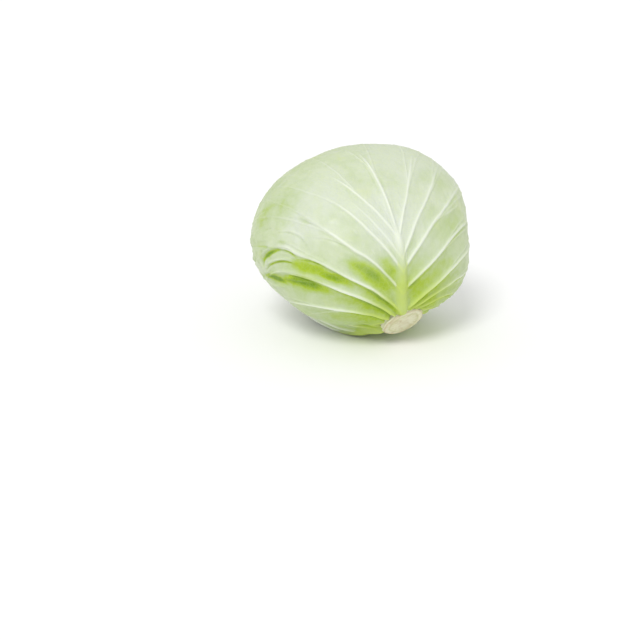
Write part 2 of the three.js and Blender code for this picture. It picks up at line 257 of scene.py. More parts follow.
STEM = aim(STEM_TURN, -STEM_DROP)
STEM_UP = unit(np.array([0, 0, 1]) - STEM * STEM[2])
STEM_SIDE = np.cross(STEM, STEM_UP)


def round_stem(angle, azimuth):
    """Directions at an angle from the stem's axis and an azimuth round it, in radians."""
    angle = np.asarray(angle, float)[..., None]
    azimuth = np.asarray(azimuth, float)[..., None]
    across = STEM_UP * np.cos(azimuth) + STEM_SIDE * np.sin(azimuth)
    return STEM * np.cos(angle) + across * np.sin(angle)


def degrees_from_stem(dirs):
    return np.arccos(np.clip(dirs @ STEM, -1, 1)) / DEG


def round_radius(dirs):
    radius = 1 / np.sqrt(((dirs / HALF_SIZES) ** 2).sum(-1))
    for turn, rise, height, spread in BUMPS:
        radius += height * np.exp((dirs @ aim(turn, rise) - 1) / (spread * DEG) ** 2)
    return radius - BASIN_DEPTH * bell(degrees_from_stem(dirs), BASIN_SPREAD)


CENTRE_HEIGHT = float(round_radius(np.array([0, 0, -1]))) - PRESSED_FLAT


def head_radius(dirs):
    """The head's outer radius, flat spot included."""
    radius = round_radius(dirs)
    floor = CENTRE_HEIGHT / np.maximum(-dirs[..., 2], LOWER_SIDE)
    share = np.clip(0.5 + (radius - floor) / (2 * FLAT_BLEND), 0, 1)
    flattened = mix(radius, floor, share) - FLAT_BLEND * share * (1 - share)
    return np.where(dirs[..., 2] > -LOWER_SIDE, radius, flattened)


def place(dirs, radius):
    """Points at a radius from the head's centre, above the floor."""
    points = dirs * np.asarray(radius)[..., None]
    points[..., 2] += CENTRE_HEIGHT
    points[..., 2] = np.where(points[..., 2] < FLAT_SNAP, 0, points[..., 2])
    return points


# ---- A leaf's plane, outline and fan of veins ----

MIDRIB_LENGTH = PLANE_RADIUS * (LEAF_MIDDLE - BASE_RADIUS) * DEG + MIDRIB_TOP
VEIN_STARTS = STARTS_ON_MIDRIB + [MIDRIB_LENGTH + BASE_STEP * i for i in range(STARTS_ON_BASE)]
FIRST_ON_BASE = len(STARTS_ON_MIDRIB)
LAST_VEIN = len(VEIN_STARTS) - 1
VEINS = np.arange(LAST_VEIN + 1)
SEEDS_A_LEAF = 100


class Leaf:
    """tip, right, left and base are its reach from its middle. step is the width of its mesh's
    columns at the edge, and rows counts its steps from the midrib to the edge."""

    def __init__(self, index, tip, right, left, step=3, rows=48, base=102, lean=0, bow=(0.08, 0.08),
                 fan=(EVEN_FAN, EVEN_FAN), raised=(PLAIN, PLAIN), sinks=(LATE, LATE)):
        self.index = index
        self.name = f"leaf_{index + 1}"
        self.tip, self.right, self.left, self.base = tip, right, left, base
        self.step, self.rows, self.lean = step, rows, lean
        self.bow = {1: bow[0], -1: -bow[1]}
        self.fan, self.raised, self.sinks = (
            {1: np.array(of_right, float), -1: np.array(of_left, float)}
            for of_right, of_left in (fan, raised, sinks)
        )
        self.azimuth = (FIRST_AZIMUTH + SPIRAL * index) * DEG
        self.middle = round_stem(LEAF_MIDDLE * DEG, self.azimuth)
        self.along = round_stem((LEAF_MIDDLE + 90) * DEG, self.azimuth)
        self.across = np.cross(self.along, self.middle)

    def noise(self, number, size):
        return Noise(SEEDS_A_LEAF * self.index + int(number), size)

    def directions(self, x, y):
        reach = np.hypot(x, y)
        angle = (reach / PLANE_RADIUS)[..., None]
        scale = np.sin(angle) / np.maximum(reach, TINY)[..., None]
        flat = self.across * x[..., None] + self.along * y[..., None]
        return self.middle * np.cos(angle) + flat * scale

    def on_plane(self, dirs):
        x = dirs @ self.across
        y = dirs @ self.along
        reach = PLANE_RADIUS * np.arccos(np.clip(dirs @ self.middle, -1, 1))
        scale = reach / np.maximum(np.hypot(x, y), TINY)
        return x * scale, y * scale

    def edge_reach(self, angle):
        side = np.where(angle > 0, self.right, self.left)
        end = np.where(np.abs(angle) < math.pi / 2, self.tip, self.base)
        reach = mix(end, side, np.sin(angle) ** 2)
        for height, count in EDGE_WAVES:
            reach += height * np.sin(count * (angle + self.azimuth)) * np.cos(angle / 2) ** 2
        return reach

    def past_edge(self, dirs):
        """How far directions lie past the leaf's edge, below 0 inside it."""
        x, y = self.on_plane(dirs)
        return np.hypot(x, y) - self.edge_reach(np.arctan2(x, y))

    def fan_start(self, vein, side):
        travelled = np.interp(vein, VEINS, VEIN_STARTS)
        down = np.minimum(travelled, MIDRIB_LENGTH)
        angle = LEAF_MIDDLE - (down - MIDRIB_TOP) / PLANE_RADIUS / DEG
        angle -= PULLED_IN * ramp(PULLED_FROM, BASE_RADIUS, angle)
        turn = (travelled - down) / (PLANE_RADIUS * math.sin(BASE_RADIUS * DEG))
        lean = self.lean * DEG * (down / MIDRIB_LENGTH) ** 2
        return self.on_plane(round_stem(angle * DEG, self.azimuth + lean - side * turn))

    def fan_end(self, vein, side):
        angle = np.interp(vein, VEINS, self.fan[side]) * DEG * side
        reach = self.edge_reach(angle)
        return reach * np.sin(angle), reach * np.cos(angle)

    def ragged(self, vein, side):
        """How far the leaf's edge lies past its smooth outline at a vein's end."""
        angle = np.interp(vein, VEINS, self.fan[side]) * DEG * side
        round_edge = np.stack([np.cos(angle), np.sin(angle), np.zeros(angle.shape)], -1) * PLANE_RADIUS
        depth, size = EDGE_NICKS
        change = -depth * ramp(*NICKED, self.noise(10, size)(round_edge))
        for height, size in EDGE_NOISES:
            change += height * self.noise(1, size)(round_edge)
        return change

    def fan_point(self, vein, share, side):
        """Points on the plane, a count of veins from the midrib and a share of the way out."""
        x0, y0 = self.fan_start(vein, side)
        x1, y1 = self.fan_end(vein, side)
        bow = self.bow[side] * ramp(0, 1, vein)
        x_bow = mix(x0, x1, BOW_AT) - bow * (y1 - y0)
        y_bow = mix(y0, y1, BOW_AT) + bow * (x1 - x0)
        x = mix(mix(x0, x_bow, share), mix(x_bow, x1, share), share)
        y = mix(mix(y0, y_bow, share), mix(y_bow, y1, share), share)
        return x, y

    def midrib_distance(self, x, y):
        rib_x, rib_y = self.fan_start(np.linspace(0, FIRST_ON_BASE, 60), 1)
        return np.abs(x - np.interp(-y, -rib_y, rib_x))

    def column_veins(self, side):
        """Where the mesh's columns run, counted in veins. Each count of steps is even."""
        veins = []
        for vein in range(LAST_VEIN):
            sides = (1, -1) if vein < FIRST_ON_BASE else (side,)
            reach = {1: self.right, -1: self.left}
            width = max(reach[s] * (self.fan[s][vein + 1] - self.fan[s][vein]) * DEG for s in sides)
            steps = 2 * max(2, round(width / self.step / 2))
            veins.extend(vein + np.arange(steps) / steps)
        return np.array(veins + [LAST_VEIN])


LEAVES = [
    Leaf(0, 116, 112, 142, step=1.2, rows=120, base=104, lean=14, bow=(0.06, 0.03),
         fan=(FAN_RIGHT, FAN_LEFT), raised=(BOLD_RIGHT, BOLD_LEFT), sinks=(SINKS_RIGHT, SINKS_LEFT)),
    Leaf(1, 140, 104, 100, step=1.5, rows=96, lean=-8),
    Leaf(2, 134, 98, 104, step=1.5, rows=96, lean=6),
    Leaf(3, 138, 100, 98, step=2, rows=72),
    Leaf(4, 140, 98, 98),
    Leaf(5, 140, 96, 96),
    Leaf(6, 140, 96, 96),
]


def depth_under(above, dirs):
    depth = np.zeros(dirs.shape[:-1])
    for outer in above:
        depth += LAYER * (1 - ramp(*COVER_RAMP, outer.past_edge(dirs)))
    return depth


def bareness(above, dirs):
    """1 where no outer leaf covers a direction, and 0 under one."""
    bare = np.ones(dirs.shape[:-1])
    for outer in above:
        bare *= ramp(*VEIN_BARE, outer.past_edge(dirs))
    return bare


# ---- The main view ----

IMAGE_SIZE = 640  # pixels
HEAD_PIXEL = (360, 238)  # where the head's centre is seen
CAMERA_RISE = 18
LENS = 85
SENSOR = 36
MM_PER_PIXEL = 0.76  # at the head's centre
FOCAL_PIXELS = IMAGE_SIZE * LENS / SENSOR
EYE_DISTANCE = FOCAL_PIXELS * MM_PER_PIXEL
SIGHT_DEPTH = 120  # more than the head's radius
SIGHT_STEPS = 4000


def main_view():
    """The eye and the point that it looks at, from the head's centre."""
    across, above = HEAD_PIXEL[0] - IMAGE_SIZE / 2, IMAGE_SIZE / 2 - HEAD_PIXEL[1]
    right = np.array([1.0, 0, 0])
    up = aim(180, 90 - CAMERA_RISE)
    return aim(0, CAMERA_RISE) * EYE_DISTANCE, -(right * across + up * above) * MM_PER_PIXEL


def seen_directions(pixels):
    """Directions to what is seen of the head's surface at pixels of the main view."""
    eye, target = main_view()
    forward = unit(target - eye)
    right = unit(np.cross(forward, [0, 0, 1]))
    up = np.cross(right, forward)
    across, down = np.array(pixels, float).T - IMAGE_SIZE / 2
    sight = forward * FOCAL_PIXELS + right * across[:, None] - up * down[:, None]
    sight = sight / np.linalg.norm(sight, axis=-1, keepdims=True)
    reach = EYE_DISTANCE + np.linspace(-SIGHT_DEPTH, SIGHT_DEPTH, SIGHT_STEPS)
    points = eye + sight[:, None] * reach[:, None]
    distance = np.linalg.norm(points, axis=-1)
    dirs = points / distance[..., None]
    above = distance - head_radius(dirs)
    met = np.where((above < 0).any(-1), np.argmax(above < 0, -1), np.argmin(above, -1))
    return dirs[np.arange(len(met)), met]


# ---- The outermost leaf's folds and patches ----

CURVE_STEPS = 12


def on_first_leaf(pixels):
    return np.stack(LEAVES[0].on_plane(seen_directions(pixels)), -1)


def curve_through(points):
    """A smooth line through points on the plane."""
    ends = np.vstack([2 * points[0] - points[1], points, 2 * points[-1] - points[-2]])
    line = []
    for a, b, c, d in zip(ends, ends[1:], ends[2:], ends[3:]):
        for t in np.arange(CURVE_STEPS) / CURVE_STEPS:
            cubic = (3 * b - a - 3 * c + d) * t**3
            line.append(b + 0.5 * ((c - a) * t + (2 * a - 5 * b + 4 * c - d) * t**2 + cubic))
    return np.array(line + [points[-1]])


# Ridges, and grooves with heights below 0: a height, a width, how pale, or how green below 0, and
# the pixels of the main view that the line is seen to run through.
# A groove's green is painted shade and green bounce light, and it covers the vein colour there.
FOLDS = {
    # Veins that hook round to the pinch, and what lies beside them.
    "upper hook": (1.9, 1.8, 0.9, [(324, 263), (311, 257), (298, 253), (290, 248), (284, 246),
        (276, 247)]),
    "upper hook's end": (2.2, 2.2, 0.3, [(286, 246), (276, 247), (267, 250), (262, 256), (261, 263),
        (263, 272)]),
    "crescent": (-1.8, 3, -1.2, [(265, 270), (263, 262), (266, 256), (272, 252), (279, 250), (288, 252)]),
    "crescent's end": (-0.8, 1.8, -0.85, [(274, 251), (282, 250), (289, 252), (295, 257), (300, 261)]),
    "arc": (1.9, 2, 0.45, [(264, 271), (268, 264), (276, 260), (285, 259), (292, 262), (297, 266)]),
    "under the arc": (-1.4, 1.7, -1, [(265, 274), (269, 266), (277, 262), (286, 262), (293, 264),
        (298, 269)]),
    "lower hook": (1.4, 1.6, 0.95, [(332, 289), (321, 282), (310, 277), (299, 274), (290, 272),
        (282, 272)]),
    "lower hook's end": (2, 2, 0.5, [(300, 274), (290, 272), (281, 271), (273, 273), (268, 278),
        (267, 284)]),
    "pocket": (-1.4, 5, -1.15, [(261, 276), (269, 276), (276, 279), (283, 282), (291, 287)]),
    "rim of the pocket": (1.7, 2.2, 0.4, [(266, 279), (271, 283), (277, 286), (286, 288)]),
    "under the lower hook": (-0.7, 2.4, -1, [(276, 275), (289, 276), (301, 278), (312, 282), (325, 290)]),
    "under the upper hook": (-0.7, 1.6, -0.95, [(288, 259), (298, 260), (308, 261), (318, 264),
        (328, 270), (341, 277)]),
    "bright band": (-0.2, 6.5, -0.9, [(304, 272), (318, 273), (332, 277), (345, 281), (360, 289)]),
    "near strand": (1.2, 1.6, 0.2, [(262, 246), (259, 254), (260, 262), (263, 270)]),
    "beside the near strand": (-0.6, 1.2, -0.4, [(265, 245), (262, 251), (262, 258), (263, 266)]),
    "beside the far strand": (-0.6, 1.3, -0.4, [(257, 247), (256, 256), (259, 264), (264, 274)]),
    "far strand": (1.2, 1.6, 0.2, [(253, 253), (255, 261), (260, 270)]),
    # Arcs above the pinch, and other folds.
    "under the inner arc": (-0.55, 1.2, -0.4, [(269, 238), (279, 233), (289, 233), (298, 237),
        (304, 243), (307, 250)]),
    "inner arc": (0.6, 1.5, 0.5, [(269, 235), (280, 231), (292, 231), (301, 236), (307, 243), (309, 250)]),
    "hollow of the inner arc": (-0.3, 3, -0.45, [(275, 242), (283, 242), (290, 244)]),
    "outer arc": (0.4, 1.6, 0.1, [(257, 238), (265, 228), (276, 221), (289, 220)]),
    "over the outer arc": (-0.5, 1.2, -0.3, [(259, 222), (267, 218), (279, 216)]),
    "under the outer arc": (-0.5, 1.2, -0.3, [(262, 232), (268, 229), (278, 226)]),
    "along the edge": (-0.5, 1.3, -0.3, [(258, 219), (256, 227), (257, 239)]),
    "under the fourth vein": (-1, 1.5, -0.22, [(286, 218), (297, 219), (306, 222), (317, 227),
        (330, 234)]),
    "under the fork": (-1, 1.4, -0.25, [(310, 238), (326, 239), (340, 244), (354, 251)]),
    "fork of the fourth vein": (0.8, 1.4, 0.6, [(304, 237), (320, 237), (336, 241), (349, 247),
        (362, 255)]),
    "valley under the upper hook": (-0.1, 11, -0.68, [(274, 264), (292, 265), (312, 268), (331, 275),
        (352, 287)]),
    "valley under the lower hook": (-0.1, 11, -0.9, [(266, 279), (281, 280), (297, 281), (312, 285),
        (325, 289), (341, 297)]),
    "valley under the fourth vein": (-0.1, 10, -0.74, [(336, 260), (352, 264), (366, 271), (378, 280),
        (389, 293)]),
    "slope under the fourth vein": (-0.1, 6, -0.4, [(338, 251), (352, 258), (365, 266), (379, 278)]),
    "valley under the third vein": (-0.1, 8, -0.42, [(376, 252), (385, 262), (391, 273), (394, 285)]),
    "outer pucker": (0.5, 1.2, 0.3, [(353, 230), (356, 233), (359, 237)]),
    "upper pucker": (0.5, 1.2, 0.3, [(344, 243), (351, 241), (357, 242)]),
    "inner pucker": (0.6, 1.2, 0.4, [(371, 248), (374, 252), (376, 257)]),
    "long fork": (0.8, 1.3, 0.7, [(432, 224), (441, 217), (449, 212), (457, 206), (464, 199)]),
    "vein beside the midrib": (1, 1.4, 0.8, [(406, 243), (406, 256), (406, 270), (406, 290)]),
}
PINCH_PIXEL = (263, 270)  # the left side's veins are drawn together here
PINCH = on_first_leaf([PINCH_PIXEL])[0]
PINCH_SIZE = (24, 46)  # the plain veins fade out between these distances
PINCH_WRINKLES = (1.2, 3.2, 12)  # their height, width and length
WRINKLE_RADIUS = 40  # where their length is measured
WRINKLES_FROM = (3, 12)
WRINKLES_TO = (85, 40)
WRINKLES_RISE = (-45, 10)  # they fade out down the leaf's plane
# Greener in the wrinkles' troughs: painted shade.
WRINKLE_SHADE_GREEN = 0.25
FOLD_STRENGTH = 0.9  # how clear the folds' colours are
FOLD_UNEVEN = 0.15
FOLD_PATCHY = (7, 6)  # how often it changes across a gap, and along a vein
GROOVE_HIDES = 0.6  # how much of a vein's colour a groove's painted shade covers
FOLD_TAPER = 0.4  # the share of a fold that fades out at either end
FOLD_ROUND = 0.7
# Round patches of colour: the pixel where each is seen, a radius and a strength.
PALE_PATCHES = {
    "round the midrib's top": ((388, 222), 28, 1),
    "end of the fourth vein": ((303, 226), 18, 0.9),
    "above the fourth vein": ((320, 203), 26, 0.65),
    "crown": ((402, 165), 36, 0.5),
    "right of the midrib": ((420, 244), 20, 0.5),
}
# Greener, darker patches: partly the leaf's own green, partly painted shade at the head's left and right
# edges and in the pocket.
GREEN_AND_SHADE_PATCHES = {
    "pocket": ((275, 277), 7, 0.45),
    "between the upper veins": ((319, 246), 10, 0.1),
    "right foot of the midrib": ((414, 284), 11, 0.12),
    "left side": ((266, 214), 22, 0.27),
    "left shoulder": ((262, 200), 30, 0.3),
    "beside the shoulder": ((280, 207), 18, 0.28),
    "over the outer arc": ((282, 222), 12, 0.2),
    "left edge": ((256, 236), 16, 0.2),
    "under the inner arc": ((279, 241), 12, 0.12),
    "over the fourth vein": ((325, 214), 12, 0.14),
    "under the third vein": ((352, 235), 12, 0.12),
    "under the second vein": ((337, 222), 9, 0.08),
    "right slope": ((441, 226), 16, 0.1),
    "right shoulder": ((430, 178), 15, 0.24),
    "right edge": ((458, 218), 17, 0.16),
    "right edge, upper part": ((456, 204), 12, 0.12),
}
PLAIN_SPOT = ((0, -15), 34, 0.7)  # on a leaf's plane


def fold_mark(at, pixels, width):
    """1 on the middle of a fold and 0 at its sides and ends."""
    line = curve_through(on_first_leaf(pixels))
    nearest = np.full(at.x.shape, np.inf)
    way = np.zeros(at.x.shape)
    for i, (x, y) in enumerate(line):
        distance = np.hypot(at.x - x, at.y - y)
        way = np.where(distance < nearest, i / (len(line) - 1), way)
        nearest = np.minimum(nearest, distance)
    taper = np.sqrt(np.clip(np.minimum(way, 1 - way) / FOLD_TAPER, 0, 1))
    return bell(nearest, FOLD_ROUND * width * mix(0.5, 1, taper)) * taper**1.5


def patch_mark(at, centre, radius, strength):
    return strength * bell(np.hypot(at.x - centre[0], at.y - centre[1]), radius)


def patches_mark(at, patches):
    total = np.zeros(at.x.shape)
    for pixel, radius, strength in patches.values():
        total = np.maximum(total, patch_mark(at, on_first_leaf([pixel])[0], radius, strength))
    return total


# ---- A leaf's relief and tones ----


class Spot:
    """Where the points of a leaf's side are. low and between place them between two veins,
    spacing is the distance between those there, and length is a vein's length."""

    def __init__(self, leaf, vein, share, side, x, y, spacing, length):
        self.leaf, self.vein, self.share, self.side = leaf, vein, share, side
        self.x, self.y, self.spacing, self.length = x, y, spacing, length
        self.dirs = leaf.directions(x, y)
        self.points = self.dirs * PLANE_RADIUS
        self.low = np.minimum(np.floor(vein).astype(int), LAST_VEIN - 1)
        self.between = vein - self.low
        self.raised = leaf.raised[side]
        self.height = mix(*VEIN_HEIGHT, share)
        self.width = mix(*VEIN_WIDTH, share)

    def sunk(self, vein):
        end = self.leaf.sinks[self.side][vein]
        return ramp(end - SINK_LENGTH, end, self.share)


def main_veins(at):
    top = np.zeros(at.x.shape)
    tone = np.zeros(at.x.shape)
    for near, distance in ((at.low, at.between), (at.low + 1, 1 - at.between)):
        sunk = at.sunk(near)
        bold = at.raised[near] * mix(1, SUNK_HEIGHT, sunk)
        mark = bell(distance * at.spacing, VEIN_ROUND * at.width * mix(1, bold, BOLD_WIDER))
        top = np.maximum(top, mark * at.height * bold)
        halo = HALO * bell(distance * at.spacing, HALO_WIDTH)
        on_top = mark * np.minimum(mix(LOWEST_TONE, 1, bold), 1)
        tone = np.maximum(tone, mix(1, SUNK_TONE, sunk) * np.maximum(on_top, halo))
    return top, tone * mix(1, FAR_TONE, ramp(*FAR_SHARES, at.share))


def forks(at):
    """Two branches in each gap, one from the vein on either side."""
    rng = np.random.default_rng(2 * at.leaf.index + (at.side > 0))
    drawn = rng.uniform(FORKS_LEAST, FORKS_MOST, (LAST_VEIN, 4))
    top = np.zeros(at.x.shape)
    for fork, base in ((0, 0), (2, 1)):
        start, end = drawn[at.low, fork], drawn[at.low, fork + 1]
        grown = np.clip((at.share - start) / (1 - start), 0, 1)
        centre = base + (end - base) * grown**FORK_BEND
        mark = bell((at.between - centre) * at.spacing, FORK_ROUND * at.width) * ramp(0, FORK_START, grown)
        mark *= ramp(*FORK_ROOM, at.spacing)
        top = np.maximum(top, mark * at.height * FORK_HEIGHT)
    return top, top / VEIN_HEIGHT[0] * FORK_TONE


def side_veins(at):
    away = np.minimum(at.between, 1 - at.between)
    far, size = SIDE_WANDER
    wander = far * at.leaf.noise(2, size)(at.points)
    outward = at.share * at.length - SIDE_SLANT * away * at.spacing + wander
    count = outward / SIDE_STEP + SIDE_SHIFT * (at.low + (at.between > 0.5))
    mark = bell((count - np.round(count)) * SIDE_STEP * SIDE_COSINE, SIDE_ROUND)
    mark = mark * ramp(0, SIDE_CLEAR, away * at.spacing) * ramp(*SIDE_REACH, away)
    mark *= ramp(*SIDE_FROM, at.share)
    return mark * SIDE_HEIGHT, mark * SIDE_TONE


def midrib(at):
    down = np.clip((MIDRIB_TOP - at.y) / MIDRIB_LENGTH, 0, 1)
    away = at.leaf.midrib_distance(at.x, at.y)
    width = mix(*MIDRIB_WIDTH, down)
    narrower, steepness = MIDRIB_ROUND
    fade = ramp(*MIDRIB_END, at.y - MIDRIB_TOP)
    mark = np.exp(-((away / (narrower * width)) ** steepness)) * fade
    tone = np.exp(-((away / width) ** MIDRIB_TONE_STEEP)) * fade
    return mark * mix(*MIDRIB_HEIGHT, down), tone * np.interp(down, *MIDRIB_TONE)


def fan_noise(at, number, counts, side_step):
    """Noise with a count of waves across a gap between veins, and one along a vein."""
    across, along = counts
    side = np.full(at.x.shape, at.side * side_step)
    return at.leaf.noise(number, 1)(np.stack([at.vein * across, at.share * along, side], -1))


def relief(at):
    """What stands on the blade, the blade's own swell, and the tones."""
    top, tone = main_veins(at)
    midrib_top, rib = midrib(at)
    for more_top, more_tone in (forks(at), (midrib_top, rib)):
        top = np.maximum(top, more_top)
        tone = np.maximum(tone, more_tone)
    more_top, more_tone = side_veins(at)
    top += more_top
    tone = np.maximum(tone, more_tone)

    noise = at.leaf.noise
    sunk = at.sunk(at.low)
    valley = np.sin(math.pi * at.between) ** 2 * ramp(*VALLEYS_FROM, at.share)
    valley = valley * (1 - rib) * (1 - VALLEY_FILLED * sunk)
    swell = -VALLEY_DEPTH * valley * ramp(*VALLEYS_TO, at.share) * ramp(*VALLEY_ROOM, at.spacing)
    small, large = PUCKER_SIZES
    swell += PUCKER * (noise(3, small)(at.points) + noise(4, large)(at.points))
    streaks = fan_noise(at, 5, STREAKS, 3)
    swell += STREAK * streaks * ramp(0, STREAKS_FROM, at.vein) * ramp(0, STREAKS_FROM, at.share)

    # Where the bold ridges' painted shadow falls in a gap.
    near, far = UNDER_RIDGE
    ridge_shadow = ramp(*near, at.between) * ramp(*far, at.between) * ramp(*UNDER_RIDGE_TO, at.share)
    is_bold = (at.low > STARTS_ON_BASE) * (at.side < 0)
    # The blade's greener colour here is painted shade: in the valleys, under the bold ridges and in the
    # grooves.
    green = VALLEY_SHADE_GREEN * valley + RIDGE_SHADOW_GREEN * ridge_shadow * is_bold
    from_groove = at.between * at.spacing - GROOVE_AWAY * at.width
    groove = bell(from_groove, VEIN_ROUND * at.width) * ramp(*GROOVE_START, at.between)
    groove = groove * np.minimum(at.raised[at.low], GROOVE_MOST) * (1 - sunk) * (1 - rib)
    swell -= GROOVE_DEPTH * groove
    # Painted shade in the groove beside the vein.
    green += GROOVE_SHADE_GREEN * groove
    pale = patch_mark(at, *PLAIN_SPOT)
    if at.leaf.index == 0:
        from_pinch = np.hypot(at.x - PINCH[0], at.y - PINCH[1])
        plain = ramp(*PINCH_SIZE, from_pinch)
        top *= plain
        tone *= plain
        pale = patches_mark(at, PALE_PATCHES)
        green += patches_mark(at, GREEN_AND_SHADE_PATCHES)
        strength = FOLD_STRENGTH + FOLD_UNEVEN * fan_noise(at, 12, FOLD_PATCHY, 1)
        for height, width, white, pixels in FOLDS.values():
            mark = fold_mark(at, pixels, width)
            uneven = mark * strength
            if height > 0:
                top = np.maximum(top, mark * height)
                tone = np.maximum(tone, uneven * white)
            else:
                # A groove dips, and its painted shade makes the blade greener and hides the vein colour.
                swell += mark * height
                tone *= 1 - GROOVE_HIDES * mark
                green = np.maximum(green, -white * uneven)
        height, wide, long = PINCH_WRINKLES
        turn = np.arctan2(at.y - PINCH[1], at.x - PINCH[0]) * WRINKLE_RADIUS
        wrinkles = noise(6, 1)(np.stack([from_pinch / wide, turn / long, 0 * turn], -1))
        wrinkles = wrinkles * ramp(*WRINKLES_FROM, from_pinch) * ramp(*WRINKLES_TO, from_pinch)
        wrinkles *= ramp(*WRINKLES_RISE, at.y)
        swell += height * wrinkles
        # Painted shade in the wrinkles' troughs.
        green += WRINKLE_SHADE_GREEN * np.maximum(-wrinkles, 0)
    # hollow: the blade's greener colour, partly the leaf's own green and partly painted shade and bounce
    # light.
    tones = {"vein": np.clip(tone, 0, 1), "hollow": np.clip(green, 0, 1), "pale": pale, "rib": rib}
    return top, np.maximum(swell, DEEPEST), tones


def edge_lift(leaf, dirs, x, y):
    """How far the blade stands off at its edge: mostly pressed down, and curled up in places."""
    points = dirs * PLANE_RADIUS
    inside = leaf.past_edge(dirs)
    height, count = CURL_RIPPLE
    angle = np.arctan2(x, y)
    curl = ramp(*CURLED, leaf.noise(7, CURL_SIZE)(points) + height * np.sin(count * angle))
    width = EDGE_LIFT_WIDTH * mix(*CURL_WIDER, curl)
    lift = mix(EDGE_HUG, EDGE_CURL, curl) * ramp(-width, 1, inside)
    height, size = EDGE_RUFFLE
    lift += height * leaf.noise(8, size)(points) * ramp(-RUFFLE_WIDTH, 0, inside)
    return lift * ramp(*LIFT_FROM_BASE, np.cos(angle))


# ---- Meshes ----


def add_object(name, data):
    thing = bpy.data.objects.new(name, data)
    bpy.context.scene.collection.objects.link(thing)
    return thing


class MeshParts:
    """Gathers points, their tones, and faces of any count of corners."""

    def __init__(self):
        self.points = []
        self.tones = {}
        self.faces = []
        self.count = 0

    def add_points(self, points, tones):
        shape = points.shape[:-1]
        start = self.count
        self.count += int(np.prod(shape))
        self.points.append(points.reshape(-1, 3))
        for name, values in tones.items():
            self.tones.setdefault(name, []).append(np.broadcast_to(values, shape).ravel())
        return start + np.arange(self.count - start).reshape(shape)

    def add_faces(self, corners, turned=False):
        faces = np.stack(corners, -1)
        faces = faces.reshape(-1, faces.shape[-1])
        self.faces.append(faces[:, ::-1] if turned else faces)

    def add_grid(self, grid, turned=False):
        self.add_faces([grid[:-1, :-1], grid[1:, :-1], grid[1:, 1:], grid[:-1, 1:]], turned)

    def add_wall(self, fine, coarse, turned=False):
        """Joins a row of points to a row of half as many."""
        self.add_faces([fine[:-2:2], fine[1:-1:2], fine[2::2], coarse[1:], coarse[:-1]], turned)

    def make(self, name):
        corners = np.concatenate([faces.ravel() for faces in self.faces])
        sizes = np.concatenate([np.full(len(faces), faces.shape[1]) for faces in self.faces])
        used, corners = np.unique(corners, return_inverse=True)
        mesh = bpy.data.meshes.new(name)
        mesh.vertices.add(len(used))
        mesh.vertices.foreach_set("co", (np.concatenate(self.points)[used] * MM).ravel())
        mesh.loops.add(len(corners))
        mesh.loops.foreach_set("vertex_index", corners)
        mesh.polygons.add(len(sizes))
        mesh.polygons.foreach_set("loop_start", np.cumsum(sizes) - sizes)
        mesh.polygons.foreach_set("use_smooth", np.ones(len(sizes), bool))
        mesh.update(calc_edges=True)
        for tone, values in self.tones.items():
            attribute = mesh.attributes.new(tone, "FLOAT", "POINT")
            attribute.data.foreach_set("value", np.concatenate(values)[used].astype(np.float32))
        return add_object(name, mesh)


ROWS_EASED = 0.3
LAST_ROW = 0.995  # rounds the edge
FAN_STEP = 0.02  # for measuring the fan's spacing


def row_shares(rows):
    """Shares of the way out, a little closer together at both ends."""
    even = np.linspace(0, 1, rows)
    eased = mix(even, 0.5 - 0.5 * np.cos(math.pi * even), ROWS_EASED)
    return np.sort(np.append(eased, LAST_ROW))


def half_leaf(leaf, above, side):
    """The outer and inner points of a leaf's side, and their tones."""
    vein, share = np.meshgrid(leaf.column_veins(side), row_shares(leaf.rows), indexing="ij")
    x, y = leaf.fan_point(vein, share, side)
    x_next, y_next = leaf.fan_point(np.abs(vein - FAN_STEP), share, side)
    x_out, y_out = leaf.fan_point(vein, share + FAN_STEP, side)
    x_run, y_run = (x_out - x) / FAN_STEP, (y_out - y) / FAN_STEP
    length = np.hypot(x_run, y_run)
    share *= 1 + leaf.ragged(vein, side) / length[:, -1:]
    spacing = np.abs((x - x_next) * y_run - (y - y_next) * x_run) / FAN_STEP
    spacing = spacing / np.maximum(length, TINY)
    x, y = leaf.fan_point(vein, share, side)
    points = leaf.directions(x, y) * PLANE_RADIUS
    wander = sum(far * leaf.noise(9 + size, size)(points) for far, size in WANDERS)
    wander = wander * ramp(*WANDERS_FROM, share) * ramp(0, WANDERS_ROOM, spacing) / length
    wander = wander * ramp(0, WANDERS_FADE, vein) * ramp(LAST_VEIN, LAST_VEIN - WANDERS_FADE, vein)
    x, y = x + wander * y_run, y - wander * x_run

    at = Spot(leaf, vein, share, side, x, y, spacing, length)
    dirs = at.dirs
    bare = bareness(above, dirs)
    top, swell, tones = relief(at)
    from_stem = degrees_from_stem(dirs)
    blade = head_radius(dirs) - depth_under(above, dirs) + bare * edge_lift(leaf, dirs, x, y)
    blade += BASE_FLARE * ramp(*FLARED, from_stem)
    rim = ramp(*RIM_RAMP, leaf.past_edge(dirs))
    outer = place(dirs, blade + bare * (swell + top))
    inner = place(dirs, blade + bare * swell - BLADE * mix(1, EDGE_THINNED, rim))
    tones.update(from_stem=from_stem / 180, rim=rim, covered=1 - bare)
    return outer, inner, tones


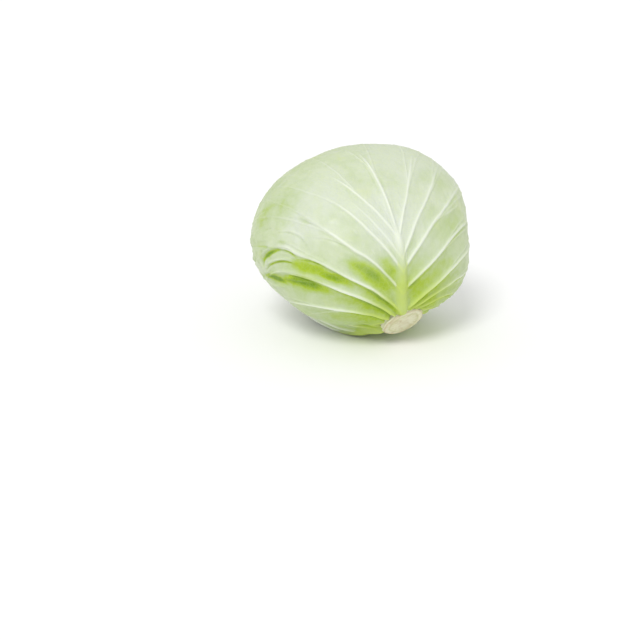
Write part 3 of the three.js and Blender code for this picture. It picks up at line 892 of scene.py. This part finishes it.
def leaf_piece(leaf, above):
    parts = MeshParts()
    grids = ()
    for side in (1, -1):
        right = side > 0
        outer_points, inner_points, tones = half_leaf(leaf, above, side)
        outer = parts.add_points(outer_points, tones)
        inner_tones = {name: values[::2, ::2] for name, values in tones.items()}
        inner = parts.add_points(inner_points[::2, ::2], inner_tones)
        on_midrib = np.searchsorted(leaf.column_veins(side), FIRST_ON_BASE) + 1
        half_on_midrib = (on_midrib + 1) // 2
        if grids:
            for mine, other, shared in zip((outer, inner), grids, (on_midrib, half_on_midrib)):
                mine[0, :] = other[0, :]
                mine[:shared, 0] = other[:shared, 0]
        grids = (outer, inner)
        parts.add_grid(outer, turned=right)
        parts.add_grid(inner, turned=not right)
        parts.add_wall(outer[:, -1], inner[:, -1], turned=right)
        parts.add_wall(outer[-1, :], inner[-1, :], turned=not right)
        parts.add_wall(outer[on_midrib - 1 :, 0], inner[half_on_midrib - 1 :, 0], turned=not right)
    return parts.make(leaf.name + "_blade")


def lathe_piece(name, rings, tones):
    """A closed piece from rings of points, with the first and the last each at one point."""
    parts = MeshParts()
    body = parts.add_points(rings[1:-1], {key: values[1:-1] for key, values in tones.items()})
    body = np.hstack([body, body[:, :1]])
    parts.add_grid(body)
    for ring, edge, turned in ((0, body[0], False), (-1, body[-1], True)):
        tip = parts.add_points(rings[ring, :1], {key: values[ring, :1] for key, values in tones.items()})
        parts.add_faces([np.repeat(tip, len(edge) - 1), edge[:-1], edge[1:]], turned)
    return parts.make(name)


# ---- The heart and the stem ----

CUT_AT = float(head_radius(STEM)) + STUMP_OUT
TIP_AT = CUT_AT - CORE_LENGTH
NECK_AT = CUT_AT - STUMP_OUT
HEART_COLUMNS = 120
HEART_ROWS = 80
HOLE_ROWS = 12
HEART_SPIRAL = 5  # leaf edges that show on the heart
HEART_LEAF = (96, 84, 84)  # their reach to the tip, the right and the left
HEART_STEP = 0.35
HEART_POLE = (178, 165)  # no steps this far from the stem, in degrees
SEAM_WIDTH = 1.5
STEM_COLUMNS = 96
CORE_ROWS = 40
STUMP_ROWS = 16
BEVEL_ROWS = 6
FACE_ROWS = 34
# The cut face: its dish, ring of wood, rays inside the ring, and the knife's marks.
DISH_DEPTH = 0.7
DISH_REACH = 0.7
RING_AT = 0.72
RING_WIDTH = 0.05
RING_RISE = 0.35
RAY_COUNT = 14
RAYS_AT = 0.62
RAYS_WIDTH = 0.14
RAYS_SHOW = 0.6
KNIFE_STEP = 1.6
KNIFE_DEPTH = 0.1
FACE_ROUGH = 0.25
# How much noise, scars and lobes change the stump's radius, as shares.
STUMP_ROUGH = 0.02
SCARS = 0.018
LOBES = 0.02
SCAR_STEP = 2.1
STEM_SEED = 900


def core_radius(distance):
    share = np.clip((distance - TIP_AT) / (NECK_AT - TIP_AT), 0, 1)
    return mix(CORE_TIP_RADIUS, STUMP_RADIUS, share)


def beside_axis(distance, radius, azimuth):
    return place(round_stem(np.arctan2(radius, distance), azimuth), np.hypot(radius, distance))


def heart_piece():
    azimuth = np.arange(HEART_COLUMNS) * 2 * math.pi / HEART_COLUMNS
    angle, around = np.meshgrid(np.linspace(180, HEART_RIM, HEART_ROWS) * DEG, azimuth, indexing="ij")
    dirs = round_stem(angle, around)
    radius = head_radius(dirs) - depth_under(LEAVES, dirs) - HEART_GAP
    seam = np.zeros(angle.shape)
    for i in range(HEART_SPIRAL):
        past = Leaf(len(LEAVES) + i, *HEART_LEAF).past_edge(dirs)
        radius -= HEART_STEP * ramp(0, SEAM_WIDTH, past) * ramp(*HEART_POLE, angle / DEG)
        seam = np.maximum(seam, bell(past, SEAM_WIDTH))
    outside = place(dirs, radius)
    mouth = float((radius[-1] * (dirs[-1] @ STEM)).mean())
    bottom = TIP_AT - CORE_GAP
    distance, around = np.meshgrid(np.linspace(mouth, bottom, HOLE_ROWS), azimuth, indexing="ij")
    hole = beside_axis(distance, core_radius(distance) + CORE_GAP, around)
    tip = beside_axis(np.full(HEART_COLUMNS, bottom), np.zeros(HEART_COLUMNS), azimuth)[None]
    seam = np.vstack([seam, np.zeros((HOLE_ROWS + 1, HEART_COLUMNS))])
    return lathe_piece("heart_leaves", np.concatenate([outside, hole, tip]), {"seam": seam})


def stem_piece():
    """Rings from the core's tip to the middle of the cut face."""
    side = np.concatenate([
        np.linspace(TIP_AT, NECK_AT, CORE_ROWS),
        np.linspace(NECK_AT, CUT_AT - STUMP_BEVEL, STUMP_ROWS)[1:],
    ])
    bevel = np.linspace(0, math.pi / 2, BEVEL_ROWS)[1:]
    face = np.linspace(STUMP_RADIUS - STUMP_BEVEL, 0, FACE_ROWS)[1:]
    bevel_distance = CUT_AT - STUMP_BEVEL * (1 - np.sin(bevel))
    bevel_radius = STUMP_RADIUS - STUMP_BEVEL * (1 - np.cos(bevel))
    distance = np.concatenate([[TIP_AT], side, bevel_distance, np.full(len(face), CUT_AT)])
    radius = np.concatenate([[0], core_radius(side), bevel_radius, face])
    azimuth = np.arange(STEM_COLUMNS) * 2 * math.pi / STEM_COLUMNS
    distance, around = np.meshgrid(distance, azimuth, indexing="ij")
    radius = np.repeat(radius[:, None], STEM_COLUMNS, axis=1)
    out = radius / STUMP_RADIUS
    on_face = ramp(CUT_AT - STUMP_BEVEL, CUT_AT, distance)
    spot = np.stack([np.cos(around) * radius, np.sin(around) * radius, distance], -1)
    rough = Noise(STEM_SEED, 6)(spot) + 0.5 * Noise(STEM_SEED + 1, 2.5)(spot)
    stump = ramp(NECK_AT - 4, NECK_AT + 1, distance) * ramp(0, 0.5, out)
    wood = bell(out - RING_AT, RING_WIDTH) * on_face
    rays = np.maximum(np.cos(RAY_COUNT * around + 2 * Noise(STEM_SEED + 2, 3)(spot)), 0)
    rays = rays * bell(out - RAYS_AT, RAYS_WIDTH) * on_face
    knife = np.sin(spot[..., 0] * KNIFE_STEP + 0.4 * Noise(STEM_SEED + 3, 5)(spot)) * on_face
    scars = np.sin(SCAR_STEP * distance + 2 * np.sin(3 * around) + rough) * (1 - on_face)
    lobes = np.cos(3 * around + 1) + 0.7 * np.cos(5 * around + 2)
    radius *= 1 + (STUMP_ROUGH * rough + SCARS * scars + LOBES * lobes) * stump
    dip = DISH_DEPTH * ramp(DISH_REACH, 0, out) - RING_RISE * wood
    dip = dip - KNIFE_DEPTH * knife - FACE_ROUGH * Noise(STEM_SEED + 4, 4)(spot)
    distance -= dip * on_face
    tones = {"cut": on_face, "wood": np.maximum(wood, RAYS_SHOW * rays), "out": out}
    return lathe_piece("stem_core", beside_axis(distance, radius, around), tones)


# ---- Materials ----


def srgb(red, green, blue):
    """A shader colour from display values of 0 to 255."""
    values = [c / 255 for c in (red, green, blue)]
    return tuple(c / 12.92 if c <= 0.04045 else ((c + 0.055) / 1.055) ** 2.4 for c in values) + (1.0,)


MIX_INPUTS = (0, 6, 7)  # a Mix node's share and its two colours
MIX_OUTPUT = 2


class Material:
    """A material's nodes, made and joined by short calls."""

    def __init__(self, name, **settings):
        self.material = bpy.data.materials.new(name)
        self.material.use_nodes = True
        self.nodes = self.material.node_tree.nodes
        self.shader = self.nodes["Principled BSDF"]
        for socket, value in settings.items():
            self.set(socket.replace("_", " "), value)
        self.place = self.nodes.new("ShaderNodeTexCoord").outputs["Object"]

    def put(self, socket, value):
        """Puts a value, another node's output or a named tone into a socket."""
        if isinstance(value, str):
            value = self.node("Attribute", {}, attribute_name=value).outputs["Fac"]
        if isinstance(value, bpy.types.NodeSocket):
            self.material.node_tree.links.new(value, socket)
        else:
            socket.default_value = value

    def set(self, socket, value):
        self.put(self.shader.inputs[socket], value)

    def node(self, kind, inputs, **settings):
        node = self.nodes.new("ShaderNode" + kind)
        for name, value in settings.items():
            setattr(node, name, value)
        for socket, value in inputs.items():
            self.put(node.inputs[socket], value)
        return node

    def math(self, operation, a, b, clamp=False):
        return self.node("Math", {0: a, 1: b}, operation=operation, use_clamp=clamp).outputs[0]

    def times(self, a, b):
        return self.math("MULTIPLY", a, b)

    def levels(self, value, low, high, start=0, end=1):
        """Goes from a start to an end as a value goes from low to high."""
        inputs = dict(enumerate([value, low, high, start, end]))
        return self.node("MapRange", inputs, interpolation_type="SMOOTHSTEP").outputs[0]

    def blend(self, share, a, b):
        inputs = dict(zip(MIX_INPUTS, (share, a, b)))
        return self.node("Mix", inputs, data_type="RGBA").outputs[MIX_OUTPUT]

    def colours(self, value, stops):
        node = self.node("ValToRGB", {0: value})
        elements = node.color_ramp.elements
        while len(elements) < len(stops):
            elements.new(0.5)
        for element, (position, colour) in zip(elements, stops):
            element.position = position
            element.color = colour
        return node.outputs[0]

    def noise(self, size, detail=3, distortion=0):
        """Noise from 0 to 1 with lumps of a size in metres."""
        inputs = {"Vector": self.place, "Scale": 1 / size, "Detail": detail, "Distortion": distortion}
        return self.node("TexNoise", inputs).outputs["Fac"]

    def net(self, size):
        """1 on the threads of a net with meshes of a size in metres."""
        inputs = {"Vector": self.place, "Scale": 1 / size}
        node = self.node("TexVoronoi", inputs, feature="DISTANCE_TO_EDGE")
        return self.levels(node.outputs["Distance"], 0, 0.14, 1, 0)

    def bump(self, height, depth):
        """Bumps whose height goes from 0 to a depth in metres."""
        node = self.node("Bump", {"Strength": 1, "Distance": depth, "Height": height})
        self.set("Normal", node.outputs["Normal"])


PALE_LEAF = srgb(203, 213, 183)
SOFT_GREEN = srgb(184, 200, 150)
MID_GREEN = srgb(164, 190, 40)
DEEP_GREEN = srgb(114, 149, 0)
YELLOW_GREEN = srgb(204, 216, 150)
WHITE_TINT = srgb(209, 215, 206)
VEIN_WHITE = srgb(226, 232, 216)
SHADED_VEIN_YELLOW = srgb(192, 210, 106)
COVERED_LEAF = srgb(212, 220, 180)
RIM_GREEN = srgb(186, 205, 146)
CREAM = srgb(228, 226, 196)
FRESH_CUT = srgb(226, 224, 196)
DRIED_CUT = srgb(186, 166, 116)
WOOD_RING = srgb(196, 198, 142)
FLOOR_WHITE = srgb(250, 250, 250)


def leaf_material(name, greenness):
    m = Material(name, Subsurface_Weight=0.12, Subsurface_Scale=0.0015,
                 Subsurface_Radius=(1, 1, 0.4), Specular_IOR_Level=0.28)
    patches = m.levels(m.noise(0.03, 2, 0.4), 0.3, 0.7, -0.08, 0.1)
    mottle = m.levels(m.noise(0.006, 3), 0.3, 0.7, -0.05, 0.05)
    # Greener toward the stem: painted shade and green bounce light.
    stem_shade = m.levels("from_stem", 0.42, 0.1, 0, 0.4)
    green = m.math("ADD", m.math("ADD", patches, mottle), m.math("ADD", stem_shade, greenness))
    # hollow adds the leaf's own greener patches and the painted shade.
    green = m.math("ADD", green, "hollow")
    green = m.math("SUBTRACT", green, m.times("pale", 0.25), clamp=True)
    stops = [(0, PALE_LEAF), (0.3, SOFT_GREEN), (0.62, MID_GREEN), (1, DEEP_GREEN)]
    colour = m.colours(green, stops)
    warm = m.levels(m.noise(0.014, 2, 0.5), 0.55, 0.8, 0, 0.35)
    warm = m.times(warm, m.levels("hollow", 0.1, 0.5, 1, 0))
    # Whiter where the pale patches are.
    whitening = m.times("pale", m.levels(m.noise(0.009, 4, 0.8), 0.25, 0.75, 0.25, 0.75))
    net = m.net(0.0035)
    rib = m.levels("rib", 0.1, 0.4)
    # Veins yellower toward the stem: painted shade and green bounce light.
    yellow_rib = m.times(rib, m.levels("from_stem", 0.31, 0.2))
    yellow = m.math("MAXIMUM", m.levels("from_stem", 0.24, 0.11), yellow_rib)
    layers = [
        (warm, YELLOW_GREEN),
        (whitening, WHITE_TINT),
        (m.times(net, 0.05), VEIN_WHITE),
        (m.times("rim", 0.2), RIM_GREEN),
        (m.times("covered", 0.8), COVERED_LEAF),
        (m.levels("vein", 0.02, 1, 0, 0.95), m.blend(yellow, VEIN_WHITE, SHADED_VEIN_YELLOW)),
    ]
    for share, layer in layers:
        colour = m.blend(share, colour, layer)
    m.set("Base Color", colour)
    m.set("Roughness", m.levels(m.noise(0.012, 4), 0.3, 0.7, 0.36, 0.52))
    height = m.math("ADD", m.times(net, 0.1), m.times(m.noise(0.0022, 3), 0.8))
    m.bump(height, 0.00022)
    return m.material


def heart_material():
    m = Material("heart_leaf", Roughness=0.5, Subsurface_Weight=0.1, Subsurface_Scale=0.002)
    colour = m.blend(m.noise(0.03, 2), CREAM, COVERED_LEAF)
    colour = m.blend(m.times("seam", 0.6), colour, MID_GREEN)
    m.set("Base Color", colour)
    m.bump(m.noise(0.003, 3), 0.0003)
    return m.material


def stem_material():
    m = Material("cut_stem", Subsurface_Weight=0.1, Subsurface_Scale=0.002,
                 Subsurface_Radius=(1, 0.9, 0.5))
    dried = m.times(m.levels(m.noise(0.006, 4, 0.6), 0.4, 0.75), "cut")
    colour = m.blend(m.times(dried, 0.55), FRESH_CUT, DRIED_CUT)
    colour = m.blend(m.times("wood", 0.7), colour, WOOD_RING)
    edge = m.times(m.levels("out", 0.86, 1), "cut")
    colour = m.blend(m.times(edge, 0.6), colour, DRIED_CUT)
    m.set("Base Color", colour)
    m.set("Roughness", m.levels(m.noise(0.004, 3), 0.3, 0.7, 0.55, 0.8))
    height = m.math("ADD", m.noise(0.0012, 4), m.times(m.noise(0.005, 2), 0.6))
    m.bump(height, 0.0004)
    return m.material


# ---- The part ----


def dress(piece, node, material):
    piece.data.materials.append(material)
    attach(piece, "root")
    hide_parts(node)


OUTER_COUNT = 3
GREENNESS = {"outer_leaf": 0.05, "inner_leaf": -0.1}
materials = {slot: leaf_material(slot, greenness) for slot, greenness in GREENNESS.items()}
for leaf in LEAVES:
    slot = "outer_leaf" if leaf.index < OUTER_COUNT else "inner_leaf"
    dress(leaf_piece(leaf, LEAVES[: leaf.index]), leaf.name, materials[slot])
dress(heart_piece(), "heart", heart_material())
dress(stem_piece(), "stem", stem_material())

# ---- The studio ----

FLOOR_HALF = 12  # metres


def make_floor():
    mesh = bpy.data.meshes.new("floor")
    corners = [(-1, -1), (1, -1), (1, 1), (-1, 1)]
    mesh.from_pydata([(x * FLOOR_HALF, y * FLOOR_HALF, 0) for x, y in corners], [], [(0, 1, 2, 3)])
    floor = add_object("floor", mesh)
    mesh.materials.append(Material("floor", Base_Color=FLOOR_WHITE, Roughness=0.8).material)


def make_light(name, turn, rise, strength, softness):
    """Even light from one side. Its softness is a width in degrees."""
    light = bpy.data.lights.new(name, "SUN")
    light.energy = strength
    light.angle = softness * DEG
    lamp = add_object(name, light)
    lamp.rotation_euler = Vector(-aim(turn, rise)).to_track_quat("-Z", "Y").to_euler()


def make_world(strength):
    world = bpy.data.worlds.new("studio")
    world.use_nodes = True
    background = world.node_tree.nodes["Background"]
    background.inputs["Color"].default_value = (1, 1, 1, 1)
    background.inputs["Strength"].default_value = strength
    bpy.context.scene.world = world


def make_camera():
    eye, target = main_view()
    camera = add_object("camera", bpy.data.cameras.new("camera"))
    camera.data.lens = LENS
    camera.data.sensor_width = SENSOR
    camera.data.clip_end = 100
    camera.location = Vector((eye + [0, 0, CENTRE_HEIGHT]) * MM)
    camera.rotation_euler = Vector(target - eye).to_track_quat("-Z", "Y").to_euler()
    bpy.context.scene.camera = camera


make_floor()
make_world(strength=0.78)
make_light("key", turn=-20, rise=52, strength=1.25, softness=22)
make_light("fill", turn=60, rise=30, strength=0.1, softness=70)
make_camera()
bpy.context.scene.view_settings.view_transform = "Standard"
